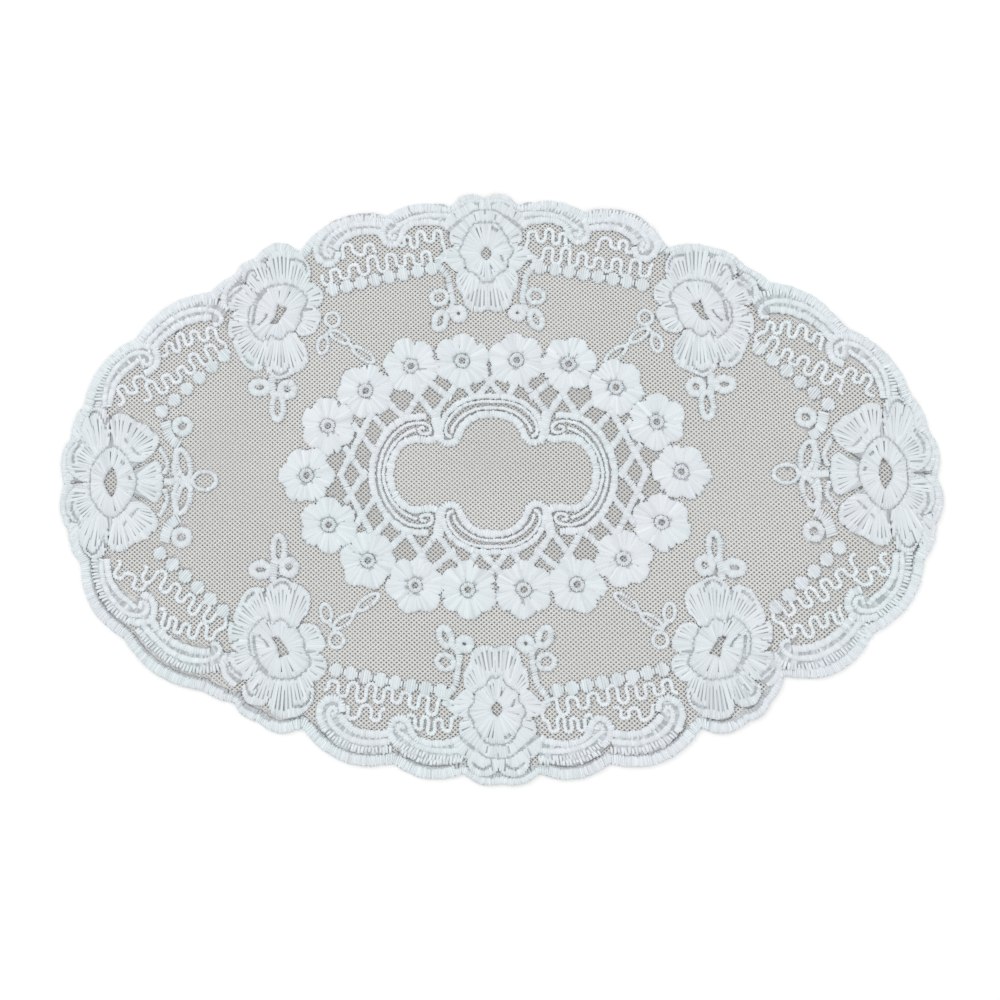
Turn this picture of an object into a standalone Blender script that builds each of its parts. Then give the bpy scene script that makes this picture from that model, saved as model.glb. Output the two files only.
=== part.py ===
"""Oval lace doily: one flat sheet of net with its embroidery raised in the top face.

The tables are in millimetres and describe one quadrant, which is mirrored to the other three.
Their origin is the middle of the flower ring. The outline's own origin is the middle of the cloth.
"""
import math
from collections import namedtuple

import bmesh
import bpy
from mathutils import Vector
from mathutils.geometry import delaunay_2d_cdt

MM = 0.001
NODE = "lace_doily"

# Driving sizes, in millimetres
NET_THICKNESS = 1.0             # net ground with the stitching on its back
RING_RISE = 2.4                 # the flower ring sits this far above the middle of the cloth
SKEW = -0.0143                  # the cloth lies pulled slightly out of square
MERGE_DISTANCE = 0.25           # stitch lines that pass closer than this share a point
HIDDEN_RISE = 0.02              # a line must be level with the stitching round it, give or take this

RIM_CREST, RIM_FOOT = 1.5, 3.3                     # distances in from the cut edge
RIM_EDGE_RISE, RIM_RISE = 0.35, 0.85

BAR_HALF_WIDTH, BAR_RISE = 1.0, 0.5                # lattice bars
CORD_HALF_WIDTH, CORD_RISE = 1.1, 0.65             # scroll and cartouche cords
WAVE_HALF_WIDTH, WAVE_RISE = 0.6, 0.35             # wavy filling thread
LEAF_RISE = 0.6
FLOWER_RISE = 0.85
BEAD_RISE = 0.8

BEAD_RADIUS = 2.3               # small stitched dot
FLOWER_RADIUS = 9.2             # flower of the ring
HOOK_RADIUS = 3.5               # curled end of a scroll

Cusp = namedtuple("Cusp", "x y bulge steps")       # bulge and steps of the arc to the next cusp
Petal = namedtuple("Petal", "x y rx ry turn rise")
Leaf = namedtuple("Leaf", "x y rx ry turn")
Rose = namedtuple("Rose", "x y axis hollow cup petals leaves")   # axis: the one it is mirrored across
Bar = namedtuple("Bar", "x1 y1 x2 y2")
Row = namedtuple("Row", "x1 y1 x2 y2 sag count")
Wave = namedtuple("Wave", "x1 y1 x2 y2 sag count depth")

OUTLINE = (                     # from the long axis round to the short axis
    Cusp(146.8, 0.0, 2.2, 4),
    Cusp(145.3, 15.8, 1.2, 3),
    Cusp(140.6, 27.3, 4.2, 6),
    Cusp(122.3, 51.4, 3.9, 6),
    Cusp(96.0, 67.6, 0.8, 2),
    Cusp(88.0, 73.6, 1.4, 3),
    Cusp(80.5, 79.6, 2.8, 4),
    Cusp(65.2, 81.7, 5.5, 6),
    Cusp(35.3, 93.2, 3.3, 5),
    Cusp(12.4, 96.4, 1.9, 4),
    Cusp(0.0, 99.6, 0.0, 0),
)
CUSP_DRIFT = {                  # unevenness of the cut: quadrant and cusp, with its shift
    (1, 1, 3): (-2.6, 0.3), (1, 1, 6): (-2.0, 0.3), (1, 1, 7): (-2.6, -1.5),
    (-1, -1, 3): (-3.4, -0.8), (-1, -1, 4): (-2.4, -2.0), (1, -1, 4): (-3.4, 2.6),
}
BULGE_DRIFT = {(1, -1, 3): 2.4, (1, 1, 6): -1.0, (-1, 1, 6): 1.6}    # quadrant and arc, with its change
ROSE_DRIFT = {                  # rose and its shift from the even layout
    (0, 1): (0.1, -0.6), (0, -1): (-0.7, -0.6), (-1, 0): (-0.5, -2.0), (1, 0): (-0.1, -1.5),
    (-1, 1): (-0.3, -0.6), (1, 1): (0.1, -1.7), (-1, -1): (0.0, -0.6), (1, -1): (-0.1, -0.8),
}
END_DRIFT, END_START = (0.0, -1.6), 88.0   # shift of the border's stitching past this distance along

FLOWERS = ((9.3, 39.1), (26.9, 37.5), (42.6, 29.1), (55.7, 17.0), (63.1, 0.0))

# Roses: petals, cup and leaves are measured from the heart. A rose on an axis is mirrored across it.
SIDE_ROSE = Rose(
    0.0, 77.3, axis=0, hollow=1.9, cup=Petal(0.0, 1.0, 9.0, 11.0, 0, 1.1),
    petals=(
        Petal(0.0, -15.0, 11.0, 6.2, 0, 0.7),
        Petal(13.0, -1.5, 4.6, 5.6, 0, 0.6),
        Petal(11.0, -10.5, 3.8, 4.6, 20, 0.55),
        Petal(10.5, 9.0, 5.2, 5.2, 0, 0.6),
        Petal(5.6, 15.4, 5.8, 5.6, 0, 0.65),
    ),
    leaves=(
        Leaf(16.5, -14.8, 3.8, 2.9, -20), Leaf(16.3, -23.4, 3.0, 3.9, 20), Leaf(10.0, -20.6, 2.8, 3.0, 0),
    ),
)
END_ROSE = Rose(
    129.8, 0.0, axis=1, hollow=2.4, cup=Petal(0.0, 0.0, 8.5, 13.0, 0, 1.1),
    petals=(
        Petal(11.6, 8.0, 7.2, 7.8, 0, 0.65),
        Petal(9.2, 19.5, 5.4, 6.4, 0, 0.6),
        Petal(1.5, 20.0, 5.0, 6.6, 0, 0.65),
        Petal(-7.0, 15.5, 8.4, 9.0, 30, 0.7),
        Petal(-14.0, 5.6, 4.5, 5.0, 0, 0.6),
        Petal(-20.0, 13.5, 3.4, 4.4, 0, 0.5),
    ),
    leaves=(
        Leaf(-31.5, 0.0, 5.2, 3.9, 0), Leaf(-25.0, 6.6, 2.8, 6.0, -15), Leaf(-24.2, 19.5, 3.5, 3.2, 0),
    ),
)
CORNER_ROSE = Rose(
    72.1, 57.6, axis=None, hollow=2.6, cup=Petal(1.3, -0.6, 10.4, 9.8, 0, 1.1),
    petals=(
        Petal(3.0, 18.5, 9.2, 7.8, 0, 0.7),
        Petal(12.0, 13.5, 7.0, 7.6, -40, 0.65),
        Petal(17.0, 4.0, 5.4, 6.6, 0, 0.6),
        Petal(14.2, -9.0, 5.0, 6.2, 20, 0.6),
        Petal(2.0, -15.0, 11.0, 7.4, 0, 0.7),
        Petal(-11.0, 3.5, 3.8, 6.8, 0, 0.55),
        Petal(-8.0, 13.8, 5.4, 6.8, 30, 0.6),
        Petal(-9.0, -7.8, 3.4, 4.0, 0, 0.5),
    ),
    leaves=(
        Leaf(7.5, -26.0, 4.2, 3.2, 0), Leaf(-2.6, -27.0, 3.0, 3.3, 0), Leaf(1.5, -33.0, 2.6, 5.4, 0),
        Leaf(-18.0, -2.0, 3.3, 3.6, 0), Leaf(-14.6, -10.4, 3.1, 3.9, 15),
        Leaf(-20.6, -8.6, 4.6, 2.4, 31), Leaf(-28.6, -14.4, 4.8, 2.5, 35),
    ),
)

LATTICE = (
    Bar(42.9, -1.0, 49.8, 9.2), Bar(51.6, 0.0, 40.4, 21.6), Bar(39.2, 7.2, 46.9, 17.4),
    Bar(35.0, 14.6, 41.8, 22.0), Bar(29.8, 19.8, 36.6, 26.6), Bar(29.3, 19.5, 22.3, 31.0),
    Bar(19.6, 20.4, 26.6, 30.0), Bar(13.6, 26.0, 21.8, 32.7), Bar(19.2, 20.4, 10.8, 31.5),
    Bar(5.8, 26.0, 8.8, 31.4), Bar(4.8, 26.0, -2.6, 34.6),
)

CARTOUCHE_CORDS = (             # each runs from its axis to its hook
    ((0.0, 26.4), (5.5, 26.0), (10.5, 24.0), (14.6, 20.6), (17.0, 16.0)),
    ((0.0, 20.5), (4.5, 19.9), (8.3, 18.0), (10.6, 15.0), (11.3, 12.6)),
    ((40.7, 0.0), (39.8, 5.8), (37.2, 12.0), (32.6, 17.2), (27.2, 19.6), (22.4, 19.6)),
    ((34.9, 0.0), (34.0, 4.9), (31.6, 9.1), (28.0, 11.7), (23.6, 12.0)),
)
CARTOUCHE_HOOKS = ((14.2, 13.4), (22.4, 15.8))

SCROLLS = (                     # each runs from the foot of the scroll to its hook
    ((12.5, 88.0), (17.0, 90.2), (22.5, 91.2), (28.0, 90.0), (32.8, 87.4)),
    ((37.5, 88.3), (43.0, 89.6), (49.0, 88.2), (54.8, 85.2), (58.6, 81.4)),
    ((120.6, 49.0), (116.0, 53.8), (109.0, 58.9), (102.0, 61.6), (96.4, 61.0)),
    ((137.6, 27.6), (135.2, 34.4), (130.4, 41.0), (125.0, 45.6), (120.4, 46.6)),
)
SCROLL_HOOKS = ((31.6, 84.0), (54.8, 79.2), (94.2, 57.6), (119.0, 43.4))

BEAD_ROWS = (Row(19.0, 71.9, 53.6, 65.0, 0.3, 8), Row(91.5, 43.6, 113.2, 24.4, 0.0, 6))
WAVES = (
    Wave(18.5, 76.8, 57.0, 70.0, 0.6, 6, 2.7),
    Wave(14.5, 83.4, 29.5, 82.4, 0.2, 3, 2.3),
    Wave(38.0, 79.8, 50.5, 78.8, 0.4, 2, 2.1),
    Wave(93.0, 45.9, 119.5, 29.0, 0.2, 4, 2.7),
    Wave(94.0, 50.7, 111.5, 46.0, 1.2, 3, 2.3),
    Wave(118.4, 35.0, 129.0, 28.6, 0.4, 2, 2.4),
)

# Height profiles of the stitched pads: fraction of the outline's radius, share of the pad's rise
PETAL_PROFILE = ((1.0, 0.0), (0.72, 1.0))
FLOWER_PROFILE = ((1.0, 0.0), (0.86, 0.85), (0.34, 1.0), (0.0, 0.35))
BEAD_PROFILE = ((1.0, 0.0), (0.0, 1.0))
LEAF_PROFILE = ((1.0, 0.0), (0.72, 1.0), (0.4, 0.0))
HOOK_PROFILE = ((1.0, 0.0), (0.66, 1.0), (0.0, 0.3))
QUADRANTS = ((1, 1), (-1, 1), (-1, -1), (1, -1))


class Pad:
    """A stitched patch seen as rings round its middle, each at its own height."""

    def __init__(self, x, y, rx, ry, turn, rise, profile, sides, lobes=0, scallop=0.0, inner_sides=None):
        self.x, self.y, self.rx, self.ry = x, y, rx, ry
        self.turn, self.rise, self.profile = math.radians(turn), rise, profile
        self.sides, self.inner_sides = sides, inner_sides or sides
        self.lobes, self.scallop = lobes, scallop
        self.reach = max(rx, ry)

    def radius(self, angle):
        """Distance from the middle to the outline, in the pad's own axes."""
        ellipse = self.rx * self.ry / math.hypot(self.ry * math.cos(angle), self.rx * math.sin(angle))
        return ellipse * (1 - self.scallop * (0.5 + 0.5 * math.cos(self.lobes * angle)))

    def span(self):
        reach = Vector((self.reach, self.reach))
        middle = Vector((self.x, self.y))
        return middle - reach, middle + reach

    def rings(self):
        """Closed rings of points, the outline first; a ring of no size is a single point."""
        rings = []
        for share, _ in self.profile:
            sides = self.inner_sides if rings else self.sides
            if share == 0:
                rings.append([(self.x, self.y)])
                continue
            ring = []
            for side in range(sides):
                angle = 2 * math.pi * side / sides
                length = self.radius(angle) * share
                ring.append((self.x + length * math.cos(angle + self.turn),
                             self.y + length * math.sin(angle + self.turn)))
            rings.append(ring)
        return rings

    def height(self, x, y):
        dx, dy = x - self.x, y - self.y
        distance = math.hypot(dx, dy)
        if distance > self.reach:
            return 0.0
        share = distance / self.radius(math.atan2(dy, dx) - self.turn)
        outer = self.profile[0]
        if share >= outer[0]:
            return 0.0
        for inner in self.profile[1:]:
            if share >= inner[0]:
                mix = (share - inner[0]) / (outer[0] - inner[0])
                return self.rise * (inner[1] * (1 - mix) + outer[1] * mix)
            outer = inner
        return self.rise * outer[1]


class Cord:
    """A line of stitches with a crest along its middle and a foot on each side."""

    def __init__(self, points, half_width, rise, hides=True):
        self.points = [Vector(p) for p in points]
        self.half_width, self.rise, self.hides = half_width, rise, hides

    def span(self):
        foot = Vector((self.half_width, self.half_width))
        low = Vector((min(p.x for p in self.points), min(p.y for p in self.points)))
        high = Vector((max(p.x for p in self.points), max(p.y for p in self.points)))
        return low - foot, high + foot

    def lines(self):
        """Left foot, crest and right foot."""
        left, right = [], []
        for i, point in enumerate(self.points):
            before = self.points[max(i - 1, 0)]
            after = self.points[min(i + 1, len(self.points) - 1)]
            side = (after - before).orthogonal().normalized() * self.half_width
            left.append(tuple(point + side))
            right.append(tuple(point - side))
        return [left, [tuple(p) for p in self.points], right]

    def height(self, x, y):
        here = Vector((x, y))
        nearest = min(distance_to_segment(here, a, b) for a, b in zip(self.points, self.points[1:]))
        return self.rise * max(0.0, 1 - nearest / self.half_width)


def distance_to_segment(point, a, b):
    run = b - a
    share = min(1.0, max(0.0, (point - a).dot(run) / run.length_squared))
    return (point - a - run * share).length


def mirrored(x, y, quadrant, drift=(0.0, 0.0)):
    """A quadrant's point in the cloth's own frame."""
    return (x * quadrant[0] + drift[0], y * quadrant[1] + drift[1] + RING_RISE)


def on_border(x, y, quadrant):
    """A point of the border's scrolls, beads and filling in the cloth's own frame."""
    return mirrored(x, y, quadrant, END_DRIFT if x > END_START else (0.0, 0.0))


def arc_points(start, end, bulge, steps):
    """Points of the shallow arc from start to end, without the end; the bulge is outwards."""
    start, end = Vector(start), Vector(end)
    chord = end - start
    outwards = Vector((chord.y, -chord.x)).normalized()
    return [tuple(start + chord * t + outwards * (4 * bulge * t * (1 - t)))
            for t in (i / steps for i in range(steps))]


def outline_points():
    """The cut edge, counter-clockwise."""
    points = []
    for sx, sy in QUADRANTS:
        cusps = []
        for order, cusp in enumerate(OUTLINE):
            drift = CUSP_DRIFT.get((sx, sy, order), (0.0, 0.0))
            cusps.append((cusp.x * sx + drift[0], cusp.y * sy + drift[1]))
        bulges = [(cusp.bulge + BULGE_DRIFT.get((sx, sy, order), 0.0), cusp.steps)
                  for order, cusp in enumerate(OUTLINE[:-1])]
        if sx * sy < 0:
            cusps.reverse()
            bulges.reverse()
        for start, end, (bulge, steps) in zip(cusps, cusps[1:], bulges):
            points += arc_points(start, end, bulge, steps)
    return [Vector(p) for p in points]


def inset(outline, distance):
    """The outline moved inwards along the normals of its points."""
    ring = []
    for i, point in enumerate(outline):
        run = outline[(i + 1) % len(outline)] - outline[i - 1]
        ring.append(tuple(point + Vector((-run.y, run.x)).normalized() * distance))
    return ring


def stitched_pad(piece, rose, quadrant, rise, profile, sides, inner_sides):
    """One of a rose's pieces as a pad in the cloth's frame."""
    drift = ROSE_DRIFT[tuple(0 if axis == rose.axis else sign for axis, sign in enumerate(quadrant))]
    x, y = mirrored(rose.x + piece.x, rose.y + piece.y, quadrant, drift)
    turn = piece.turn * quadrant[0] * quadrant[1]
    return Pad(x, y, piece.rx, piece.ry, turn, rise, profile, sides, inner_sides=inner_sides)


def rose_pads(rose):
    """The petals, the cup with its open heart, and the leaves, in every quadrant that has the rose."""
    open_share = rose.hollow / min(rose.cup.rx, rose.cup.ry)
    cup_profile = ((1.0, 0.0), (0.86, 1.0), (open_share + 0.12, 0.9), (open_share, 0.2))
    kinds = [(petal, petal.rise, PETAL_PROFILE, 8, 6) for petal in rose.petals]
    kinds += [(leaf, LEAF_RISE, LEAF_PROFILE, 7, 5) for leaf in rose.leaves]
    kinds.append((rose.cup, rose.cup.rise, cup_profile, 12, 7))
    pads = []
    for quadrant in QUADRANTS:
        for piece, *finish in kinds:
            on_axis = rose.axis is not None and (piece.x, piece.y)[rose.axis] == 0
            if not on_axis or quadrant[rose.axis] > 0:
                pads.append(stitched_pad(piece, rose, quadrant, *finish))
    return pads


def bead_centres(row):
    """Middles of one row of beads, evenly spaced on a slight curve."""
    start, end = Vector((row.x1, row.y1)), Vector((row.x2, row.y2))
    across = (end - start).orthogonal().normalized() * row.sag
    shares = [i / (row.count - 1) for i in range(row.count)]
    return [start.lerp(end, t) + across * (4 * t * (1 - t)) for t in shares]


def wave_points(wave):
    """A zigzag of the filling thread between two scrolls."""
    start, end = Vector((wave.x1, wave.y1)), Vector((wave.x2, wave.y2))
    across = (end - start).orthogonal().normalized()
    turns = 2 * wave.count
    points = []
    for i in range(turns + 1):
        t = i / turns
        lift = wave.sag * 4 * t * (1 - t) + (wave.depth if i % 2 else -wave.depth)
        points.append(start.lerp(end, t) + across * lift)
    return points


def all_pads():
    pads = []
    for quadrant in QUADRANTS:
        for order, (x, y) in enumerate(FLOWERS):
            if y or quadrant[1] > 0:
                px, py = mirrored(x, y, quadrant)
                pads.append(Pad(px, py, FLOWER_RADIUS, FLOWER_RADIUS, 17 * order, FLOWER_RISE,
                                FLOWER_PROFILE, 21, lobes=7, scallop=0.13, inner_sides=7))
        for row in BEAD_ROWS:
            for centre in bead_centres(row):
                px, py = on_border(centre.x, centre.y, quadrant)
                pads.append(Pad(px, py, BEAD_RADIUS, BEAD_RADIUS, 0, BEAD_RISE, BEAD_PROFILE, 6))
        for x, y in SCROLL_HOOKS + CARTOUCHE_HOOKS:
            px, py = on_border(x, y, quadrant)
            pads.append(Pad(px, py, HOOK_RADIUS, HOOK_RADIUS, 0, CORD_RISE, HOOK_PROFILE, 7))
    for rose in (SIDE_ROSE, END_ROSE, CORNER_ROSE):
        pads += rose_pads(rose)
    return pads


def all_cords():
    cords = []
    for quadrant in QUADRANTS:
        for bar in LATTICE:
            ends = (mirrored(bar.x1, bar.y1, quadrant), mirrored(bar.x2, bar.y2, quadrant))
            cords.append(Cord(ends, BAR_HALF_WIDTH, BAR_RISE, hides=False))
        for line in CARTOUCHE_CORDS + SCROLLS:
            cords.append(Cord([on_border(x, y, quadrant) for x, y in line], CORD_HALF_WIDTH, CORD_RISE))
        for wave in WAVES:
            line = [on_border(p.x, p.y, quadrant) for p in wave_points(wave)]
            cords.append(Cord(line, WAVE_HALF_WIDTH, WAVE_RISE))
    return cords


def rim_height(point, crest):
    """Rise of the stitched rim at a point, from its distance to the rim's crest line."""
    nearest = min(distance_to_segment(point, a, b) for a, b in zip(crest, crest[1:] + crest[:1]))
    return RIM_RISE * max(0.0, 1 - nearest / (RIM_FOOT - RIM_CREST))


class Relief:
    """How far the stitching stands above the net at any point."""

    CELL = 8.0

    def __init__(self, shapes, rim_crest):
        self.rim_crest, self.cells = rim_crest, {}
        for shape in shapes:
            (low_x, low_y), (high_x, high_y) = shape.span()
            for i in range(int(low_x // self.CELL), int(high_x // self.CELL) + 1):
                for j in range(int(low_y // self.CELL), int(high_y // self.CELL) + 1):
                    self.cells.setdefault((i, j), []).append(shape)

    def height(self, x, y):
        near = self.cells.get((int(x // self.CELL), int(y // self.CELL)), ())
        return max([rim_height(Vector((x, y)), self.rim_crest)] + [shape.height(x, y) for shape in near])


class Plan:
    """Points and lines of the stitching, gathered for one triangulation."""

    def __init__(self, relief):
        self.relief, self.points, self.edges = relief, [], []

    def add(self, line, closed, rise=None, partly=False):
        """A line of points; with a rise, only the stretches that no other stitching covers."""
        first = len(self.points)
        self.points += [Vector(p) for p in line]
        pairs = [(i, i + 1) for i in range(len(line) - 1)]
        if closed and len(line) > 2:
            pairs.append((len(line) - 1, 0))
        for a, b in pairs:
            if rise is None or self.shows(self.points[first + a], self.points[first + b], rise, partly):
                self.edges.append((first + a, first + b))
        if len(line) == 1:
            self.edges.append((first, first))
        return list(range(first, first + len(line)))

    def shows(self, a, b, rise, partly):
        """Whether a stretch lies on top: its middle or both of its ends, or if partly, any of them."""
        tops = [self.relief.height(*a.lerp(b, t)) < rise + HIDDEN_RISE for t in (0.0, 0.5, 1.0)]
        return any(tops) if partly else tops[1] or (tops[0] and tops[2])

    def triangles(self, outline):
        """Triangles inside the outline, with every stitch line as an edge."""
        used = sorted({i for edge in self.edges for i in edge})
        order = {old: new for new, old in enumerate(used)}
        edges = [(order[a], order[b]) for a, b in self.edges if a != b]
        face = [order[i] for i in outline]
        result = delaunay_2d_cdt([self.points[i] for i in used], edges, [face], 1, MERGE_DISTANCE)
        return result[0], result[2]


def stitched_plan():
    """The flat pattern of the top face, and the relief that raises it."""
    outline = outline_points()
    crest = [Vector(p) for p in inset(outline, RIM_CREST)]
    pads, cords = all_pads(), all_cords()
    relief = Relief(pads + cords, crest)

    plan = Plan(relief)
    edge = plan.add(outline, closed=True)
    plan.add(crest, closed=True)
    plan.add(inset(outline, RIM_FOOT), closed=True, rise=0.0)
    for pad in pads:
        for ring, (_, share) in zip(pad.rings(), pad.profile):
            plan.add(ring, closed=True, rise=share * pad.rise)
    for cord in cords:
        for line, rise in zip(cord.lines(), (0.0, cord.rise, 0.0)):
            plan.add(line, closed=False, rise=rise if cord.hides else None, partly=True)
    return plan.triangles(edge), relief


def cloth_mesh():
    """The closed sheet: a raised face, the cut edge and a flat underside."""
    (points, faces), relief = stitched_plan()
    sheet = bmesh.new()
    for point in points:
        x, y = point.x + SKEW * point.y, point.y + SKEW * point.x
        rise = relief.height(point.x, point.y)
        sheet.verts.new((x * MM, y * MM, (NET_THICKNESS + rise) * MM))
    sheet.verts.ensure_lookup_table()
    for face in faces:
        sheet.faces.new([sheet.verts[i] for i in face])
    bmesh.ops.delete(sheet, geom=[v for v in sheet.verts if not v.link_faces], context="VERTS")

    cut_edge = [e for e in sheet.edges if e.is_boundary]
    for vert in {v for e in cut_edge for v in e.verts}:
        vert.co.z = max(vert.co.z, (NET_THICKNESS + RIM_EDGE_RISE) * MM)
    wall = bmesh.ops.extrude_edge_only(sheet, edges=cut_edge)["geom"]
    for vert in (item for item in wall if isinstance(item, bmesh.types.BMVert)):
        vert.co.z = 0.0
    lower_edge = [item for item in wall if isinstance(item, bmesh.types.BMEdge)]
    bmesh.ops.edgeloop_fill(sheet, edges=lower_edge)
    bmesh.ops.recalc_face_normals(sheet, faces=sheet.faces)

    mesh = bpy.data.meshes.new(NODE)
    sheet.to_mesh(mesh)
    sheet.free()
    return mesh


def thread_material():
    material = bpy.data.materials.new("lace_thread")
    material.use_nodes = True
    shader = material.node_tree.nodes["Principled BSDF"]
    shader.inputs["Base Color"].default_value = (0.74, 0.79, 0.83, 1.0)
    shader.inputs["Roughness"].default_value = 0.75
    shader.inputs["Metallic"].default_value = 0.0
    return material


def main():
    for old in list(bpy.data.objects):
        bpy.data.objects.remove(old, do_unlink=True)
    mesh = cloth_mesh()
    mesh.materials.append(thread_material())
    doily = bpy.data.objects.new(NODE, mesh)
    bpy.context.scene.collection.objects.link(doily)


main()
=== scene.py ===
import math
import bmesh
import bpy
import numpy as np
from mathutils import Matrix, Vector


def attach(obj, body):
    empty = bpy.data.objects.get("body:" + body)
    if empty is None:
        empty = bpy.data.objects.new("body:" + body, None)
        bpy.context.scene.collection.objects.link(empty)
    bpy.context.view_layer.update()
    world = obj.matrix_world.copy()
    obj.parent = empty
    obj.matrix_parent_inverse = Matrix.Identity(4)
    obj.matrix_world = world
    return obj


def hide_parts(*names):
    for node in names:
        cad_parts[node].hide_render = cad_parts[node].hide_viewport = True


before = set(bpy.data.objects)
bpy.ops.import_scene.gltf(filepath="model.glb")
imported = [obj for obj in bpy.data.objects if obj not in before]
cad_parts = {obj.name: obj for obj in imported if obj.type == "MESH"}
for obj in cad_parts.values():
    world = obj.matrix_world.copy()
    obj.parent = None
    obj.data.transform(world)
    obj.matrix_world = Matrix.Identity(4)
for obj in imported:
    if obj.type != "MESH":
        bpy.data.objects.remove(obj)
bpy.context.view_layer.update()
rng = np.random.default_rng(41)

# lengths are in mm, apart from the sheet's flat size
cloth = {"ringRise": 2.4, "skew": -0.0143, "swell": 0.16, "swellRuns": (15, 23, 19, 31), "swellBends": (0.8, 0.5),
         "cuspTurn": 3, "flat": (0.2967, 0.2005)}
fineness = {"curve": 12, "arc": 24}   # points from one given point to the next
quadrants = ((1, 1), (-1, 1), (-1, -1), (1, -1))
roseSpots = ((0, 77), (130.3, 0), (72.1, 57.6))   # middles of the side, end and corner roses
still = (0, 0)   # the drift of motifs that keep their place

# outline from the long axis round to the short one: x, y, bulge of the arc to the next cusp
outline = ((146.8, 0, 2.2), (145.3, 15.8, 1.2), (140.6, 27.3, 4.2), (122.3, 51.4, 3.9), (96, 67.6, 0.8),
           (88, 73.6, 1.4), (80.5, 79.6, 2.8), (65.2, 81.7, 5.5), (35.3, 93.2, 3.3), (12.4, 96.4, 1.9),
           (0, 99.6, 0))
cuspDrift = {(1, 1, 3): (-2.6, 0.3), (1, 1, 6): (-2.0, 0.3), (1, 1, 7): (-2.6, -1.5),
             (-1, -1, 3): (-3.4, -0.8), (-1, -1, 4): (-2.4, -2.0), (1, -1, 4): (-3.4, 2.6)}
bulgeDrift = {(1, -1, 3): 2.4, (1, 1, 6): -1.0, (-1, 1, 6): 1.6}


def evenly(line, step):  # points an even distance apart along a line
    run = np.r_[0, np.cumsum(np.linalg.norm(np.diff(line, axis=0), axis=1))]
    at = np.linspace(0, run[-1], max(3, round(run[-1] / step) + 1))
    return np.stack([np.interp(at, run, line[:, k]) for k in (0, 1)], 1)


def smooth(points, step, closed=False):  # a rounded line through a few points
    p = np.array(points, float)
    p = np.concatenate([p[-1:], p, p[:2]] if closed else [2 * p[:1] - p[1:2], p, 2 * p[-1:] - p[-2:-1]])
    t = np.linspace(0, 1, fineness["curve"], endpoint=False)[:, None]
    bits = [(2 * b + (c - a) * t + (2 * a - 5 * b + 4 * c - d) * t ** 2 + (3 * b - a - 3 * c + d) * t ** 3) / 2
            for a, b, c, d in zip(p, p[1:], p[2:], p[3:])]
    return evenly(np.concatenate(bits + [p[-2:-1]]), step)


def leftOf(runs):  # each run turned a quarter to the left
    return np.stack([-runs[..., 1], runs[..., 0]], -1)


def directions(angles):  # x and y of directions of unit length
    return np.stack([np.cos(angles), np.sin(angles)], 1)


def across(line, width, slant):  # satin stitches over a line, as ends x1 y1 x2 y2
    run = np.gradient(line, axis=0)
    run /= np.linalg.norm(run, axis=1)[:, None]
    side, lean = leftOf(run) * width / 2, run * slant
    return np.hstack([line - side - lean, line + side + lean])


def inside(shape, spots):  # which spots a closed shape holds
    x, y = spots[..., 0], spots[..., 1]
    hit = np.zeros(x.shape, bool)
    for (ax, ay), (bx, by) in zip(shape, np.roll(shape, -1, axis=0)):
        if ay != by:
            hit ^= ((ay > y) != (by > y)) & (x < ax + (y - ay) * (bx - ax) / (by - ay))
    return hit


def farFrom(line, spots, gap):  # which spots keep a gap from a line
    far = np.ones(spots.shape[:-1], bool)
    for a, b in zip(line, line[1:]):
        run = b - a
        t = np.clip((spots - a) @ run / (run @ run + 1e-12), 0, 1)
        far &= ((spots - a - t[..., None] * run) ** 2).sum(-1) > gap ** 2
    return far


# "step" runs along a stitch; "lead", "slitFrom" and "shortest" count such steps
fanRules = {"start": 0.05, "step": 0.12, "shapeStep": 0.8, "grooveStep": 1.2, "holeStep": 0.6, "margin": 0.5,
            "clear": 0.5, "close": 0.1, "closeShare": 0.22, "lead": 3, "slitFrom": 30, "shortest": 6,
            "firstEnd": (0.15, 0.35), "lastStart": (0.12, 0.25)}


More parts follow.
